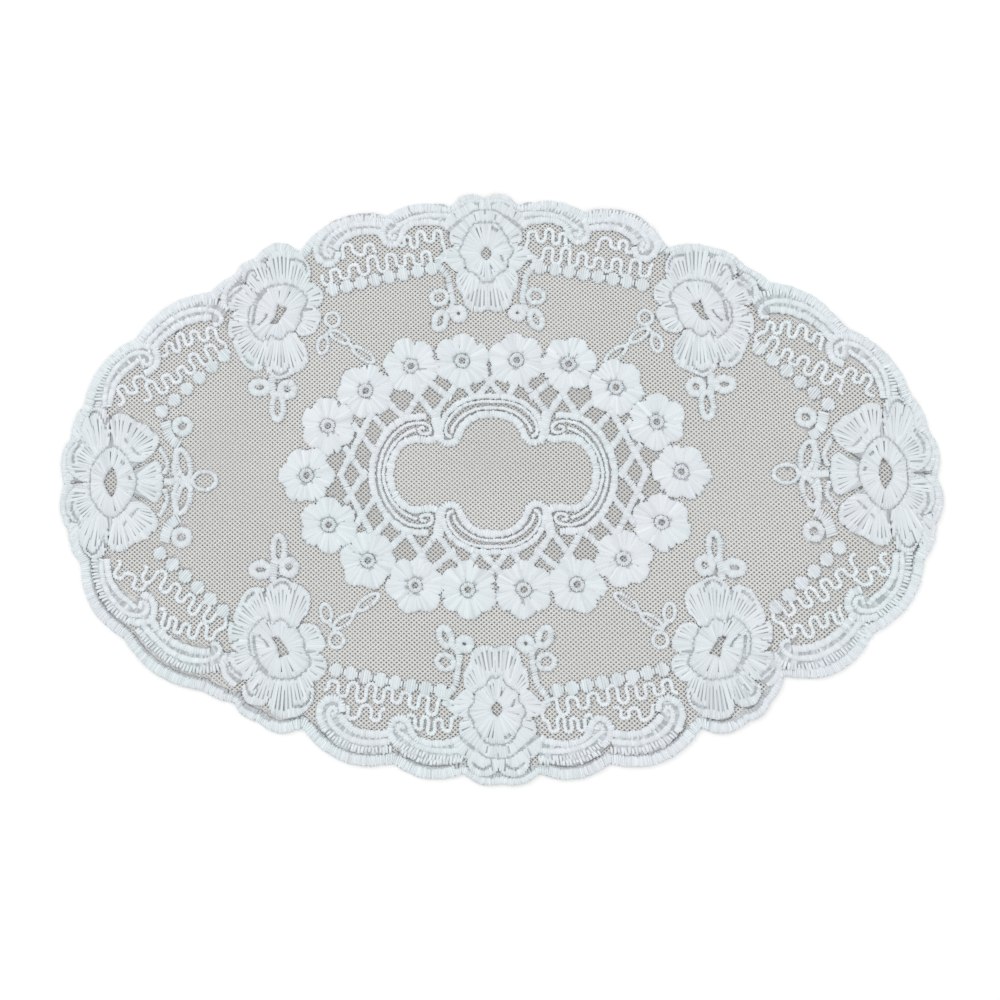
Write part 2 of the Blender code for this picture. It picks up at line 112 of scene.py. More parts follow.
# stitches that spread from a root over the shapes, as ends x1 y1 x2 y2
def fan(shapes, root, pitch, grooves=(), gap=0.3, hole=None, slits=0.0, filled=False, upTo=None, grow=0.0):
    shapes = [smooth(shape, fanRules["shapeStep"], closed=True) for shape in shapes]
    root = np.array(root, float)
    reach = max(np.linalg.norm(shape - root, axis=1).max() for shape in shapes) + fanRules["margin"]
    away = directions(np.arange(0, 2 * math.pi, pitch / reach))
    spots = root + np.arange(fanRules["start"], reach, fanRules["step"])[None, :, None] * away[:, None]
    good = np.any([inside(shape, spots) | ~farFrom(shape, spots, grow) for shape in shapes], 0)
    rays = good.any(1)
    spots, good = spots[rays], good[rays]
    if filled:   # from the root out to the farthest shape
        good = np.maximum.accumulate(good[:, ::-1], 1)[:, ::-1]
    if upTo is not None:   # stitches near another shape start close beside it
        near, reachBack = smooth(upTo[0], fanRules["shapeStep"], closed=True), upTo[1]
        taken = inside(near, spots)
        for flags, within in zip(good, taken):
            first = flags.argmax()
            flags[max(0, first - fanRules["lead"]):first] = True
            before = max(0, first - reachBack)
            under = np.flatnonzero(within[before:first])
            if len(under):
                flags[before + under[-1]:first] = True
        close, clear = (farFrom(near, spots, fanRules[k]) for k in ("close", "clear"))
        good &= ~taken & np.where(rng.random((len(spots), 1)) < fanRules["closeShare"], close, clear)
    for groove in grooves:
        good &= farFrom(smooth(groove, fanRules["grooveStep"]), spots, gap)
    if hole is not None:
        good &= ~inside(smooth(hole, fanRules["holeStep"], closed=True), spots)
    found, slit = [], False
    for ray, flags in zip(spots, good):
        slit = not slit and rng.random() < slits
        ends = np.flatnonzero(np.diff(np.r_[0, flags.astype(int), 0]))
        for a, b in zip(ends[::2], ends[1::2]):
            bits = [(a, b)]
            if slit and b - a > fanRules["slitFrom"]:   # a stitch in two, with a slit in the middle
                firstEnd = a + int((b - a) * rng.uniform(*fanRules["firstEnd"]))
                lastStart = b - int((b - a) * rng.uniform(*fanRules["lastStart"])) - fanRules["shortest"]
                bits = [(a, firstEnd), (lastStart, b)]
            found += [(*ray[a], *ray[b - 1]) for a, b in bits if b - a > fanRules["shortest"]]
    return np.array(found).reshape(-1, 4)


def outlineLine(inset, step):  # a line inside the cut edge
    line = []
    for sx, sy in quadrants:
        cusps = [(x * sx + cuspDrift.get((sx, sy, k), still)[0], y * sy + cuspDrift.get((sx, sy, k), still)[1])
                 for k, (x, y, _) in enumerate(outline)]
        bulges = [b + bulgeDrift.get((sx, sy, k), 0) for k, (_, _, b) in enumerate(outline[:-1])]
        if sx * sy < 0:
            cusps, bulges = cusps[::-1], bulges[::-1]
        for a, b, bulge in zip(cusps, cusps[1:], bulges):
            a, b = np.array(a), np.array(b)
            out = np.array([b[1] - a[1], a[0] - b[0]]) / np.linalg.norm(b - a)
            t = np.linspace(0, 1, fineness["arc"], endpoint=False)[:, None]
            line.append(a + (b - a) * t + out * bulge * 4 * t * (1 - t))
    line = np.concatenate(line)
    line = evenly(np.concatenate([line, line[:1]]), step)
    k = round(cloth["cuspTurn"] / step)   # the direction turns gently through the cusps
    run = np.roll(line, -k, axis=0) - np.roll(line, k, axis=0)
    run /= np.linalg.norm(run, axis=1)[:, None]
    return line + leftOf(run) * inset


def swell(x, y):  # how the cloth rises and falls over the table, in mm
    (a, b, c, d), (e, f) = cloth["swellRuns"], cloth["swellBends"]
    return cloth["swell"] * (1 + np.sin(x / a + e * np.sin(y / b)) * np.cos(y / c + f * np.sin(x / d)))


def toCloth(lines, quadrant, drift=still):  # a quadrant's stitches in the cloth's own frame
    ends = lines.reshape(-1, 2) * quadrant + drift + (0, cloth["ringRise"])
    ends = ends + cloth["skew"] * ends[:, ::-1]
    return ends.reshape(-1, 4)


def meshFrom(bm, name):  # a mesh of what was built, which is then freed
    mesh = bpy.data.meshes.new(name)
    bm.to_mesh(mesh)
    bm.free()
    return mesh


def added(name, data):  # a new object in the scene
    thing = bpy.data.objects.new(name, data)
    bpy.context.scene.collection.objects.link(thing)
    return thing


def pieceOf(name, mesh, material):  # a finished piece in one material
    mesh.materials.clear()
    mesh.materials.append(material)
    sewn[name] = added(name, mesh)


def stitchTemplate(name, stations):  # one stitch of unit size, seen from above a rounded strand
    bm = bmesh.new()
    bmesh.ops.create_grid(bm, x_segments=len(stations) - 1, y_segments=4, size=0.5)
    along = sorted({round(v.co.x, 4) for v in bm.verts})
    for v in bm.verts:
        at, rise = stations[along.index(round(v.co.x, 4))]
        sink = stitches["drop"] * (1 - math.sqrt(1 - stitches["round"] * (v.co.y * 2) ** 2))   # towards the sides
        wide = stitches["endWidth"] + (1 - stitches["endWidth"]) * rise
        v.co = (at, v.co.y * wide, max(0.0, rise * (1 - sink)))
    for f in bm.faces:
        f.smooth = True
    return bpy.data.objects.new(name, meshFrom(bm, name))


def copier(template):  # nodes that set a copy of the template on every point
    tree = bpy.data.node_groups.new("copies_of_" + template.name, "GeometryNodeTree")
    tree.interface.new_socket("Geometry", in_out="INPUT", socket_type="NodeSocketGeometry")
    tree.interface.new_socket("Geometry", in_out="OUTPUT", socket_type="NodeSocketGeometry")
    made = {kind: tree.nodes.new(kind) for kind in (
        "NodeGroupInput", "GeometryNodeInstanceOnPoints", "GeometryNodeObjectInfo", "GeometryNodeRealizeInstances",
        "NodeGroupOutput")}
    copies = made["GeometryNodeInstanceOnPoints"]
    for attribute, socket in (("turn", "Rotation"), ("size", "Scale")):
        read = tree.nodes.new("GeometryNodeInputNamedAttribute")
        read.data_type = "FLOAT_VECTOR"
        read.inputs["Name"].default_value = attribute
        tree.links.new(read.outputs["Attribute"], copies.inputs[socket])
    made["GeometryNodeObjectInfo"].inputs["Object"].default_value = template
    tree.links.new(made["NodeGroupInput"].outputs[0], copies.inputs["Points"])
    tree.links.new(made["GeometryNodeObjectInfo"].outputs["Geometry"], copies.inputs["Instance"])
    tree.links.new(copies.outputs["Instances"], made["GeometryNodeRealizeInstances"].inputs[0])
    tree.links.new(made["GeometryNodeRealizeInstances"].outputs[0], made["NodeGroupOutput"].inputs[0])
    return tree


def copiesAt(name, template, places, turns, sizes, tones):  # one joined mesh of many copies
    points = bpy.data.meshes.new(name + "_points")
    points.vertices.add(len(places))
    points.vertices.foreach_set("co", np.ravel(places).astype(np.float32))
    for label, values in (("turn", turns), ("size", sizes), ("tone", tones)):
        kind, field = ("FLOAT", "value") if label == "tone" else ("FLOAT_VECTOR", "vector")
        points.attributes.new(label, kind, "POINT").data.foreach_set(field, np.ravel(values).astype(np.float32))
    holder = added(name, points)
    holder.modifiers.new("copies", "NODES").node_group = template
    seen = holder.evaluated_get(bpy.context.evaluated_depsgraph_get())
    joined = bpy.data.meshes.new_from_object(seen)
    bpy.data.objects.remove(holder)
    bpy.data.meshes.remove(points)
    return joined


def threadMaterial(name, setting):  # matt thread, a little uneven from stitch to stitch and along its length; its tone attribute also carries painted shade
    material = bpy.data.materials.new(name)
    material.use_nodes = True
    nodes, links = material.node_tree.nodes, material.node_tree.links
    shader = nodes["Principled BSDF"]
    shader.inputs["Roughness"].default_value = setting["roughness"]
    shader.inputs["Specular IOR Level"].default_value = setting["specular"]
    shader.inputs["Sheen Weight"].default_value = setting["sheen"]
    place = nodes.new("ShaderNodeTexCoord")
    noises = []
    for scale, detail in zip((setting["fineScale"], setting["broadScale"]), threads["details"]):
        noise = nodes.new("ShaderNodeTexNoise")
        noise.inputs["Scale"].default_value = scale
        noise.inputs["Detail"].default_value = detail
        links.new(place.outputs["Object"], noise.inputs["Vector"])
        noises.append(noise)
    tone = nodes.new("ShaderNodeAttribute")
    tone.attribute_name = "tone"
    both = nodes.new("ShaderNodeMath")
    both.operation = "MULTIPLY_ADD"
    both.inputs[1].default_value = setting["fineShare"]
    links.new(noises[0].outputs["Fac"], both.inputs[0])
    links.new(tone.outputs["Fac"], both.inputs[2])
    shade = nodes.new("ShaderNodeValToRGB")
    shade.color_ramp.elements[0].color = (*setting["dark"], 1)
    shade.color_ramp.elements[1].color = (*setting["light"], 1)
    links.new(both.outputs[0], shade.inputs["Fac"])
    tint = nodes.new("ShaderNodeMix")
    tint.data_type = "RGBA"
    tint.blend_type = "MULTIPLY"
    tint.inputs["Factor"].default_value = 1
    drift = nodes.new("ShaderNodeValToRGB")
    drift.color_ramp.elements[0].position, drift.color_ramp.elements[1].position = threads["tintRange"]
    drift.color_ramp.elements[0].color = (*setting["tintA"], 1)
    drift.color_ramp.elements[1].color = (*setting["tintB"], 1)
    links.new(noises[1].outputs["Fac"], drift.inputs["Fac"])
    links.new(shade.outputs["Color"], tint.inputs["A"])
    links.new(drift.outputs["Color"], tint.inputs["B"])
    links.new(tint.outputs["Result"], shader.inputs["Base Color"])
    bump = nodes.new("ShaderNodeBump")
    bump.inputs["Strength"].default_value = setting["bump"]
    bump.inputs["Distance"].default_value = threads["grain"]
    links.new(noises[0].outputs["Fac"], bump.inputs["Height"])
    links.new(bump.outputs["Normal"], shader.inputs["Normal"])
    return material


threads = {"details": (3, 2), "tintRange": (0.35, 0.65), "grain": 0.0001}   # the same in both threads
satin = {"roughness": 0.62, "specular": 0.35, "sheen": 0.15, "fineScale": 2600, "broadScale": 28, "fineShare": 0.14,
         "dark": (0.40, 0.425, 0.44), "light": (0.83, 0.88, 0.91), "tintA": (0.97, 1.0, 0.99),
         "tintB": (1.0, 0.985, 1.0), "bump": 0.35}
netThread = {"roughness": 0.7, "specular": 0.3, "sheen": 0.1, "fineScale": 3000, "broadScale": 16, "fineShare": 0.3,
             "dark": (0.44, 0.44, 0.435), "light": (0.78, 0.78, 0.77), "tintA": (0.96, 0.96, 0.95), "tintB": (1, 1, 1),
             "bump": 0.2}
satinThread = threadMaterial("satin_thread", satin)
tulleThread = threadMaterial("tulle_thread", netThread)

stitches = {   # stations are places along a stitch, each with its share of the height
    "long": ((-0.5, 0), (-0.47, 0.7), (-0.3, 0.97), (0.3, 1), (0.47, 0.73), (0.5, 0)),
    "short": ((-0.5, 0), (-0.42, 0.75), (0.0, 1), (0.42, 0.78), (0.5, 0)), "longFrom": 3,
    "drop": 0.6, "round": 0.96, "endWidth": 0.75, "heights": (0.9, 1.0), "widths": (0.85, 1.15),
    "toneRange": (-0.2, 1), "lowShade": 0.12}
longStitch = copier(stitchTemplate("long_stitch", stitches["long"]))
shortStitch = copier(stitchTemplate("short_stitch", stitches["short"]))
plain = {"reach": 0.15, "sway": 0.05, "sunkBy": 0.68, "tone": 0.62, "spread": 0.06}   # unless a setting says otherwise
sewn = {}   # every piece's object by name
footprint = []   # all stitches, for leaving out the net they hide


def sew(name, patches):  # a piece from patches of stitches: lines in the cloth's frame with their settings
    rows = []
    for lines, setting in patches:
        n, setting = len(lines), plain | setting
        fray, reach, sway = setting["fray"], setting["reach"], setting["sway"]
        a, b = lines[:, :2] + rng.normal(0, sway, (n, 2)), lines[:, 2:] + rng.normal(0, sway, (n, 2))
        run = (b - a) / (np.linalg.norm(b - a, axis=1)[:, None] + 1e-9)
        a = a - run * (reach + rng.uniform(-fray, fray, (n, 1)))
        b = b + run * (reach + rng.uniform(-fray, fray, (n, 1)))
        low = np.where(rng.random(n) < setting["sunk"], setting["sunkBy"], 1.0)
        top = setting["foot"] + (setting["top"] - setting["foot"]) * low * rng.uniform(*stitches["heights"], n)
        width = setting["width"] * rng.uniform(*stitches["widths"], n)
        tone = np.clip(rng.normal(setting["tone"], setting["spread"], n), *stitches["toneRange"])
        # sunk stitches get painted shade, darker by lowShade
        tone = tone - stitches["lowShade"] * (low < 1)
        rows.append(np.column_stack([a, b, np.full(n, setting["foot"]), top, width, tone]))
    rows = np.concatenate(rows)
    footprint.append(rows[:, :4])
    middle = (rows[:, :2] + rows[:, 2:4]) / 2
    run = rows[:, 2:4] - rows[:, :2]
    length = np.linalg.norm(run, axis=1)
    places = np.column_stack([middle, rows[:, 4] + swell(*middle.T)]) / 1000
    turns = np.column_stack([np.zeros((len(rows), 2)), np.arctan2(run[:, 1], run[:, 0])])
    sizes = np.column_stack([length, rows[:, 6], rows[:, 5] - rows[:, 4]]) / 1000
    bm = bmesh.new()
    isLong = length >= stitches["longFrom"]
    for kind, chosen in ((longStitch, isLong), (shortStitch, ~isLong)):
        if chosen.any():
            part = copiesAt(name, kind, places[chosen], turns[chosen], sizes[chosen], rows[chosen, 7])
            bm.from_mesh(part)
            bpy.data.meshes.remove(part)
    mesh = meshFrom(bm, name)
    pieceOf(name, mesh, satinThread)
    print(name, len(rows), "stitches,", sum(len(p.vertices) - 2 for p in mesh.polygons), "triangles")


def mirrored(lines, setting, drifts=None):  # a patch in all four quadrants
    return [(toCloth(lines, q, drifts.get(q, still) if drifts else still), setting) for q in quadrants]


# ring of eighteen small flowers
flowers = {"spots": ((9.3, 39.1), (26.9, 37.5), (42.6, 29.1), (55.7, 17.0), (63.1, 0)), "lean": (96, 66, 47, 30, 0),
           "leanSpread": 5, "radius": 9.7, "oval": 0.03, "lobes": 6, "lobePower": 0.7, "scallop": 0.19, "rays": 58,
           "starts": (2.85, 3.6), "startSpread": 0.15, "lateShare": 0.14, "late": (1, 3), "shortShare": 0.05,
           "short": (0.6, 1.4), "base": (2.5, 0.6), "eyelet": (1.2, 2.4)}
petals = {"foot": 0.85, "top": 1.6, "width": 1.45, "fray": 0.3, "sunk": 0.15, "sunkBy": 0.8}
# the base ring's low tone is painted shade, seen in the gaps between the petals
flowerBase = {"foot": 0.8, "top": 1.1, "width": 2.0, "fray": 0.1, "reach": 0.0, "sunk": 0.0, "tone": 0.05}
eyelet = {"foot": 0.6, "top": 1.8, "width": 0.75, "fray": 0.1, "reach": 0.1, "sunk": 0.1}
patches = []
for quadrant in quadrants:
    for (x, y), lean in zip(flowers["spots"], flowers["lean"]):
        if y or quadrant[1] > 0:
            angles = np.arange(flowers["rays"]) * 2 * math.pi / flowers["rays"] + rng.uniform(0, 0.1)
            away = directions(angles)
            leaned = angles - math.radians(lean + rng.uniform(-flowers["leanSpread"], flowers["leanSpread"]))
            lobe = abs(np.cos(flowers["lobes"] / 2 * leaned)) ** flowers["lobePower"]
            size = flowers["radius"] * (1 + flowers["oval"] * np.sin(2 * angles + rng.uniform(0, 6.28)))
            outer = size * (1 - flowers["scallop"] * (1 - lobe))
            n, at = len(angles), np.tile((x, y), 2)
            inner = np.where(rng.random(n) < 0.5, *flowers["starts"])
            inner = inner + rng.uniform(-flowers["startSpread"], flowers["startSpread"], n)
            late = rng.random(n) < flowers["lateShare"]
            inner = np.where(late, inner + rng.uniform(*flowers["late"], n), inner)
            short = np.where(rng.random(n) < flowers["shortShare"], rng.uniform(*flowers["short"], n), 0)
            stitched = np.hstack([away * inner[:, None], away * (outer - short)[:, None]])
            patches.append((toCloth(stitched + at, quadrant), petals))
            start, less = flowers["base"]
            stitched = np.hstack([away[::2] * start, away[::2] * (outer[::2, None] - less)])
            patches.append((toCloth(stitched + at, quadrant), flowerBase))
            stitched = np.hstack([away[::3] * radius for radius in flowers["eyelet"]])
            patches.append((toCloth(stitched + at, quadrant), eyelet))
sew("flower_ring", patches)

# bars between the ring and the cartouche
bars = {"width": 2.0, "lines": (   # x and y of the points of each bar
    (42.9, -1.0, 49.8, 9.2), (51.6, 0, 40.4, 21.6), (39.2, 7.2, 46.9, 17.4), (35, 14.6, 41.8, 22.0),
    (29.8, 19.8, 36.6, 26.6), (29.3, 19.5, 22.3, 31), (19.6, 20.4, 26.6, 30), (13.6, 26, 21.8, 32.7),
    (19.2, 20.4, 14.6, 26.8, 10.8, 31.5), (5.8, 26, 8.8, 31.4), (4.8, 26, -2.6, 34.6))}
barStitch = {"foot": 0.85, "top": 1.55, "width": 0.95, "fray": 0.2, "sunk": 0.08, "pitch": 0.85, "slant": 0.3}
patches = []
for points in bars["lines"]:
    line = evenly(np.array(points, float).reshape(-1, 2), barStitch["pitch"])
    patches += mirrored(across(line, bars["width"], barStitch["slant"]), barStitch)
sew("lattice", patches)

# cartouche: two hooked arcs in each quadrant
cord = {"foot": 0.85, "top": 1.5, "width": 0.95, "fray": 0.12, "sunk": 0.05, "tone": 0.68, "pitch": 0.8, "slant": 0.2}
band = {"foot": 0.85, "top": 1.65, "width": 1.02, "fray": 0.25, "sunk": 0.06, "tone": 0.68, "pitch": 0.85, "slant": 0}
cartouche = {
    "bands": (
        (1.7, ((0, 26.7), (5, 26.4), (9, 25.2), (12.7, 22.9), (15.4, 20), (17.0, 16.6))),
        (2.2, ((17.0, 16.6), (17.5, 13.6), (16.6, 11.2), (14.5, 10.4), (12.4, 11.1), (11.3, 13), (10, 15.9),
               (7.6, 18.4), (4.2, 20), (0, 20.5))),
        (2.1, ((40.9, 0), (40.3, 5.2), (38.5, 10), (35.4, 14.8), (31.4, 18.2), (27, 19.6), (22.4, 19.8))),
        (2.3, ((19.4, 21.4), (18.9, 18), (18.4, 15), (18.6, 12.4), (21, 11.6), (24.6, 12), (28.2, 11.7), (31.5, 9.2),
               (33.9, 5.1), (34.9, 0))),
        (2.0, ((18.3, 20.6), (17.9, 18.2), (17.9, 15)))),
    "cords": (
        (0.85, ((0, 24.8), (4, 24.7), (8, 23.8), (11.5, 21.8), (14, 19), (15.4, 16), (15.2, 13.5), (13.9, 12.7))),
        (0.85, ((0, 22.6), (4, 22.4), (8, 20.9), (11, 18.6), (12.9, 16.2), (13.4, 14.4))),
        (0.9, ((38.5, 0), (37.9, 4.2), (36.3, 9), (33.7, 13), (30.6, 15.9), (27, 17.4), (23.6, 17.6), (21.1, 16.6),
               (20.6, 14.8), (22, 13.8), (24.2, 14.3), (24.4, 15.7), (23.1, 16))),
        (0.85, ((37, 0), (36.4, 3.7), (34.7, 8), (31.8, 11.9), (28.6, 14.2), (26.2, 15.2))))}
patches = []
for group, kind in (("bands", band), ("cords", cord)):
    for width, points in cartouche[group]:
        patches += mirrored(across(smooth(points, kind["pitch"]), width, kind["slant"]), kind)
sew("cartouche", patches)

# scrolls of the border, their ends curled
endDrift = {(1, 1): (-0.3, -3.4), (-1, 1): (0, -3.0), (-1, -1): (0, -0.5)}
sideDrift = {(1, 1): (-0.6, -0.5), (-1, 1): (0, -0.3)}
scrolls = {   # widths with a minus are sewn open, as dashes
    "side": (
        (2.0, ((13.5, 87.8), (17, 88.9), (21.5, 89.3), (25.5, 88.6), (28.3, 86.8), (29.4, 84.2), (30.6, 81.8),
               (33, 80.9), (35.2, 82.2), (36, 84.8), (35.4, 87.6), (33.5, 89.8))),
        (1.7, ((12.5, 91.2), (17, 91.7), (22, 91.3), (26, 90.3), (29.3, 88.6), (31.6, 86.6), (33.4, 85.4), (33.3, 83.9),
               (32.2, 83.3), (31.5, 84.3))),
        (-1.9, ((12.5, 93.8), (17, 94), (22, 93.6), (26, 92.7), (29.5, 91.2), (32.5, 89.5))),
        (2.2, ((37, 85.8), (40.5, 86.3), (44.5, 86), (48, 84.8), (50.7, 82.8), (52.4, 80.4))),
        (1.8, ((36.5, 88.5), (41, 89), (45.5, 88.8), (49.5, 87.6), (52.8, 85.6), (55.4, 82.8), (56.3, 80), (55.6, 77.9),
               (54.2, 77.7), (53.8, 79), (54.8, 80))),
        (-2.0, ((36, 91.2), (41, 91.4), (46, 91), (50.5, 89.7), (54.5, 87.4), (57.2, 85.1))),
        (2.1, ((57.6, 84.6), (59.3, 81), (59, 77.6), (57, 75.2), (54.2, 74.6), (52.2, 76), (51.6, 78.5)))),
    "end": (
        (1.9, ((118.3, 50.3), (115, 54), (111.5, 57.3), (107, 60), (102.5, 61.5), (98, 61.8), (94.5, 60.8),
               (92.6, 58.6), (93.2, 56.5), (95, 56.2))),
        (2.2, ((115.8, 48.6), (113, 52), (109.3, 55), (105, 57.3), (100.5, 58.6), (96.5, 58.9))),
        (-2.2, ((120.5, 51.5), (117.5, 55), (113.5, 58.7), (108.5, 62), (103, 64.2), (98, 64.8), (93.5, 64),
                (90.5, 62))),
        (1.5, ((133.2, 28), (133.2, 31.5), (132.3, 36), (130.2, 40.2), (127, 43.8), (123.5, 46.2), (119.5, 46.6),
               (117.2, 44.8), (117.6, 42.6), (119.4, 42.4), (119.9, 44))),
        (1.9, ((131.5, 28), (131, 31.5), (129.8, 35.5), (127, 39.5), (123.5, 42.2), (121.6, 44))),
        (-2.2, ((135.5, 28), (135, 33), (133.5, 38), (131, 42.5), (127.5, 46), (124, 48.3))),
        (2.2, ((123.5, 48.6), (118.6, 49.2), (115.6, 47.6), (114.9, 44), (116, 41), (119, 39.7))))}
# the ground stitches' low tone is painted shade in the gaps between the scroll bands
scrollBase = {"foot": 0.8, "top": 1.1, "width": 1.0, "fray": 0.1, "reach": 0.0, "sunk": 0.0, "tone": 0.14,
              "spread": 0.26, "pitch": 1.05}
openStitch = {"foot": 0.85, "top": 1.6, "width": 0.9, "fray": 0.3, "sunk": 0.08, "sway": 0.13, "tone": 0.68,
              "pitch": 1.15, "slant": 0.1}
scrollShapes = {   # the ground under the scrolls, with the root its stitches spread from
    "side": ((((13, 88), (17, 89), (22, 89.3), (26, 88.3), (29, 85.5), (30.5, 82.4), (33.4, 81.6), (35.6, 84),
               (35.4, 88.4), (33, 91.8), (29, 94.4), (24, 95.6), (18, 95.8), (13, 95)), (23, 80)),
             (((37, 86), (41, 86.5), (46, 86), (50, 83.6), (52, 80), (53, 76.5), (56.5, 75.8), (59, 79), (59, 83),
               (57, 87), (53, 90.4), (47, 92.4), (41, 92.9), (37, 92)), (46, 78))),
    "end": ((((119.5, 49.5), (121, 52), (116, 58), (109, 63.4), (102, 65.6), (95, 65.4), (91, 62), (91.8, 58),
              (94.4, 56.4), (97, 58.2), (103, 57.8), (109, 55), (114.6, 50.4)), (100, 48)),
            (((131.6, 28), (136, 28), (135.6, 34), (133, 40.5), (129, 46), (124, 49.4), (118.6, 49.6), (115.6, 46),
              (116.4, 42.2), (119.6, 41), (122.6, 43), (127, 39.5), (130.4, 34)), (116, 32)))}
curl = {"at": (0.5, 0.75, 1), "widths": (1.5, 1.35)}   # shares of a cord's length, and its widths there
ladder = {"line": ((13, 94.5), (17.5, 95.1), (22.5, 95.1), (27.5, 94), (32, 92.2)),   # only where the cloth is deeper
          "pitch": 1.1, "width": 1.5, "slant": 0.15}
patches = []
for group, drifts in (("side", sideDrift), ("end", endDrift)):
    for shape, root in scrollShapes[group]:
        patches += mirrored(fan([shape], root, scrollBase["pitch"]), scrollBase, drifts)
    for width, points in scrolls[group]:
        kind = openStitch if width < 0 else band if width >= 2 else cord
        line, width = smooth(points, kind["pitch"]), abs(width)
        if kind is cord:   # thinner towards its curl
            width = np.interp(np.linspace(0, 1, len(line)), curl["at"], (width, *curl["widths"]))[:, None]
        patches += mirrored(across(line, width, kind["slant"]), kind, drifts)
rungs = across(smooth(ladder["line"], ladder["pitch"]), ladder["width"], ladder["slant"])
patches += [(toCloth(rungs, q, sideDrift.get(q, still)), openStitch) for q in quadrants if q[1] < 0]
sew("scroll_border", patches)

# sewn edge
rim = {"satin": (0.62, 0.1, 3.4), "base": (1.1, 0.6, 4.1), "byRoses": 2.5, "roseReach": 25}   # step, near and far inset
edgeSatin = {"foot": 0.1, "top": 1.5, "width": 0.92, "fray": 0.25, "reach": 0.0, "sunk": 0.04, "tone": 0.72}
# the low tone of the rim's base row is painted shade between the rim's stitches
edgeBase = {"foot": 0.1, "top": 1.0, "width": 1.2, "fray": 0.15, "reach": 0.0, "sunk": 0.0, "tone": 0.15}
patches = []
for (step, start, far), setting in ((rim["satin"], edgeSatin), (rim["base"], edgeBase)):
    near, inner = outlineLine(start, step), outlineLine(far, step)
    if setting is edgeSatin:   # narrower beside the roses
        close = np.linalg.norm(abs(near)[:, None] - roseSpots, axis=2).min(1) < rim["roseReach"]
        inner = np.where(close[:, None], outlineLine(rim["byRoses"], step), inner)
    ends = np.hstack([near, inner])
    patches.append((ends + cloth["skew"] * ends[:, [1, 0, 3, 2]], setting))
sew("rim", patches)


def rowFrom(x1, y1, x2, y2):  # where a row starts, its run and the direction to its left
    run = np.array((x2 - x1, y2 - y1))
    return np.array((x1, y1)), run, leftOf(run) / np.linalg.norm(run)


# dots between the scrolls and the ground; rows hold both ends, the sag between them, the count and the drifts
dots = {"rows": ((19, 72.2, 53.6, 65.4, 0.3, 8, sideDrift), (91.5, 45.2, 113.2, 25.8, 0.0, 6, endDrift)),
        "radius": 2.4, "stitches": 6, "outermost": 1.95, "short": 0.2}
dotStitch = {"foot": 0.85, "top": 1.7, "width": 0.9, "fray": 0.12, "reach": 0.05, "sunk": 0.04}
patches = []
at = np.linspace(-dots["outermost"], dots["outermost"], dots["stitches"])[:, None]
half = np.sqrt(dots["radius"] ** 2 - (abs(at) + dots["short"]) ** 2)
for *ends, sag, count, drifts in dots["rows"]:
    start, run, side = rowFrom(*ends)
    for t in np.linspace(0, 1, count):
        middles = start + run * t + side * sag * 4 * t * (1 - t) + run / np.linalg.norm(run) * at
        patches += mirrored(np.hstack([middles - side * half, middles + side * half]), dotStitch, drifts)
sew("beads", patches)

# wavy filling thread; rows hold both ends, the sag, the turns, their depth and the drifts
waves = {"rows": ((18, 76.9, 57.5, 69.9, 0.5, 6.4, 2.9, sideDrift), (14.5, 83.6, 29.5, 82.4, 0.2, 3, 2.6, sideDrift),
                  (38, 79.9, 50.8, 78.8, 0.4, 2, 2.2, sideDrift), (92.5, 48.2, 119.5, 31.2, 0.2, 5, 2.9, endDrift),
                  (93.5, 53.2, 113.2, 47.2, 1.2, 4, 2.6, endDrift), (117.6, 37.6, 129, 30.6, 0.4, 2, 2.6, endDrift)),
         "joined": ((0, 1), (3, 4)), "bend": 0.3, "width": 1.22, "points": 24,   # joined rows are one thread
         "meanDepth": 0.9, "lean": 0.1,
         "early": (0.7, 5), "deeper": (0.22, 11), "aside": (0.5, 8)}   # slow swings, each with its size and rate
waveStitch = {"foot": 0.85, "top": 1.4, "width": 0.85, "fray": 0.08, "reach": 0.05, "sunk": 0.05, "tone": 0.72,
              "pitch": 0.75, "slant": 0.25}


def wander(name, t, start):  # one of the slow swings along a run of thread
    size, rate = waves[name]
    return size * np.sin(rate * t + start)


patches = []
runs = {}
for k, (*ends, sag, turns, depth, drifts) in enumerate(waves["rows"]):
    start, run, side = rowFrom(*ends)
    t = np.linspace(0, 1, round(waves["points"] * turns))[:, None]
    for quadrant in quadrants:   # every run of thread wanders in its own way
        a, b, c = rng.uniform(0, 6.28, 3)
        phase = t * turns * 2 * math.pi + wander("early", t, a)
        sway = depth * (waves["meanDepth"] + wander("deeper", t, b)) * -np.cos(phase) + wander("aside", t, c)
        line = start + run * (t + waves["lean"] / turns * np.sin(2 * phase)) + side * (sway + sag * 4 * t * (1 - t))
        drift = drifts.get(quadrant, still)
        runs[k, quadrant] = line[0], drift
        stitched = across(evenly(line, waveStitch["pitch"]), waves["width"], waveStitch["slant"])
        patches.append((toCloth(stitched, quadrant, drift), waveStitch))
for first, second in waves["joined"]:
    for quadrant in quadrants:
        (a, drift), (b, _) = runs[first, quadrant], runs[second, quadrant]
        bend = (a + b) / 2 + leftOf(b - a) * waves["bend"] * np.sign((b - a)[1])
        stitched = across(smooth((a, bend, b), waveStitch["pitch"]), waves["width"], waveStitch["slant"])
        patches.append((toCloth(stitched, quadrant, drift), waveStitch))
sew("filling_thread", patches)

